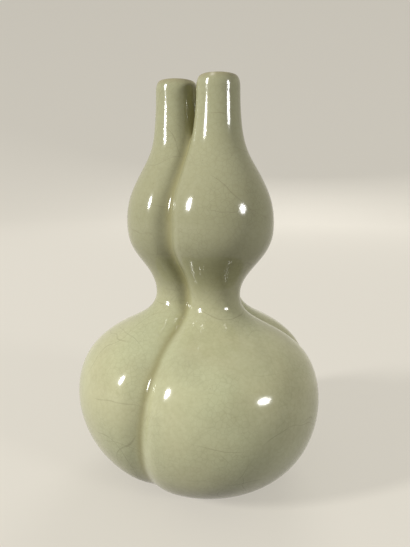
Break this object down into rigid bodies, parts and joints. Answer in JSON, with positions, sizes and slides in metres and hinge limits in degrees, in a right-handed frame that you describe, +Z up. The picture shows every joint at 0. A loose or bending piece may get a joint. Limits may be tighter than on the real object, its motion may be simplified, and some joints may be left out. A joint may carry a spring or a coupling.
{
  "type": "triple double-gourd vase",
  "caption": "Celadon flower vase of slender double gourds joined side by side, with separate short necks, soft clefts, crackled grey-green glaze and a bare foot ring.",
  "frame": {"origin": "on the vase's axis, between the gourds, on the surface that the foot ring stands on", "axes": "+Z up along the vase's axis, -X towards the left gourd, -Y towards the viewer of the picture"},
  "size_m": [0.1434, 0.147, 0.23],
  "materials": {
    "celadon_glaze": "glossy crackled celadon glaze on stoneware",
    "glazed_slip": "luting slip under the same glaze, where it pools a little darker",
    "bare_stoneware": "unglazed dark brown fired body"
  },
  "bodies": {
    "root": {"left_lower_bulb": "celadon_glaze", "left_upper_bulb": "celadon_glaze", "left_neck": "celadon_glaze", "left_waist_slip": "glazed_slip", "left_neck_slip": "glazed_slip", "front_lower_bulb": "celadon_glaze", "front_upper_bulb": "celadon_glaze", "front_neck": "celadon_glaze", "front_waist_slip": "glazed_slip", "front_neck_slip": "glazed_slip", "back_lower_bulb": "celadon_glaze", "back_upper_bulb": "celadon_glaze", "back_neck": "celadon_glaze", "back_waist_slip": "glazed_slip", "back_neck_slip": "glazed_slip", "front_left_lower_seam": "glazed_slip", "front_left_upper_seam": "glazed_slip", "front_back_lower_seam": "glazed_slip", "front_back_upper_seam": "glazed_slip", "back_left_lower_seam": "glazed_slip", "back_left_upper_seam": "glazed_slip", "foot_ring": "bare_stoneware"}
  },
  "joints": []
}
